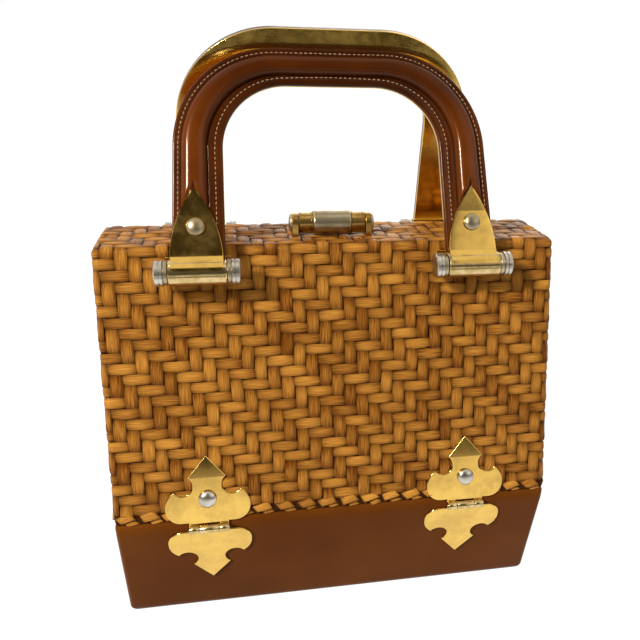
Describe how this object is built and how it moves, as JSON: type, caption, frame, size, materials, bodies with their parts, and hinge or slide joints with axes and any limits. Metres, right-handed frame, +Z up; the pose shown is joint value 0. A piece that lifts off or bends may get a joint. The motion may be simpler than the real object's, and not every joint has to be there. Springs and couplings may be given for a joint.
{
  "type": "wicker top-handle bag",
  "caption": "Clamshell handbag: twill-woven wicker halves on a leather-covered tray, with cut brass hinges, padded leather top handles and a roller clasp.",
  "frame": {"origin": "under the middle of the tray's flat bottom", "axes": "+Z up, +X across the bag to its right as seen from the front, front towards -Y"},
  "size_m": [0.236, 0.1084, 0.3128],
  "materials": {
    "wicker": "varnished honey-coloured woven strands",
    "base_leather": "smooth semi-gloss dark caramel",
    "handle_leather": "glossy cognac, padded and stitched",
    "brass": "polished",
    "nickel": "polished",
    "lining": "plain woven lining"
  },
  "bodies": {
    "base": {"base_tray": "base_leather", "base_lining": "lining", "front_left_hinge_lower_leaf": "brass", "front_right_hinge_lower_leaf": "brass", "back_left_hinge_lower_leaf": "brass", "back_right_hinge_lower_leaf": "brass"},
    "front_half": {"front_wicker": "wicker", "front_lining": "lining", "front_edge_braid": "wicker", "front_left_hinge_upper_leaf": "brass", "front_right_hinge_upper_leaf": "brass", "front_left_handle_bracket": "brass", "front_right_handle_bracket": "brass", "clasp_bracket": "brass"},
    "front_handle": {"front_handle_leather": "handle_leather", "front_handle_liner": "brass", "front_left_handle_plate": "brass", "front_right_handle_plate": "brass"},
    "back_half": {"back_wicker": "wicker", "back_lining": "lining", "back_edge_braid": "wicker", "back_left_hinge_upper_leaf": "brass", "back_right_hinge_upper_leaf": "brass", "back_left_handle_bracket": "brass", "back_right_handle_bracket": "brass", "clasp_strike": "brass"},
    "back_handle": {"back_handle_leather": "handle_leather", "back_handle_liner": "brass", "back_left_handle_plate": "brass", "back_right_handle_plate": "brass"},
    "clasp_roller": {"clasp_roller": "nickel"}
  },
  "joints": [
    {"name": "front_half_hinge", "type": "hinge", "parent": "base", "child": "front_half", "pos_m": [0, -0.05195, 0.06637], "axis": [1, 0, 0], "range_deg": [0, 70]},
    {"name": "back_half_hinge", "type": "hinge", "parent": "base", "child": "back_half", "pos_m": [0, 0.05195, 0.06637], "axis": [-1, 0, 0], "range_deg": [0, 70]},
    {"name": "front_handle_swing", "type": "hinge", "parent": "front_half", "child": "front_handle", "pos_m": [0, -0.03883, 0.20282], "axis": [1, 0, 0], "range_deg": [0, 185]},
    {"name": "back_handle_swing", "type": "hinge", "parent": "back_half", "child": "back_handle", "pos_m": [0, 0.03883, 0.20282], "axis": [-1, 0, 0], "range_deg": [0, 175]},
    {"name": "clasp_turn", "type": "hinge", "parent": "front_half", "child": "clasp_roller", "pos_m": [0, -0.0062, 0.2183], "axis": [-1, 0, 0], "range_deg": [0, 13]}
  ]
}
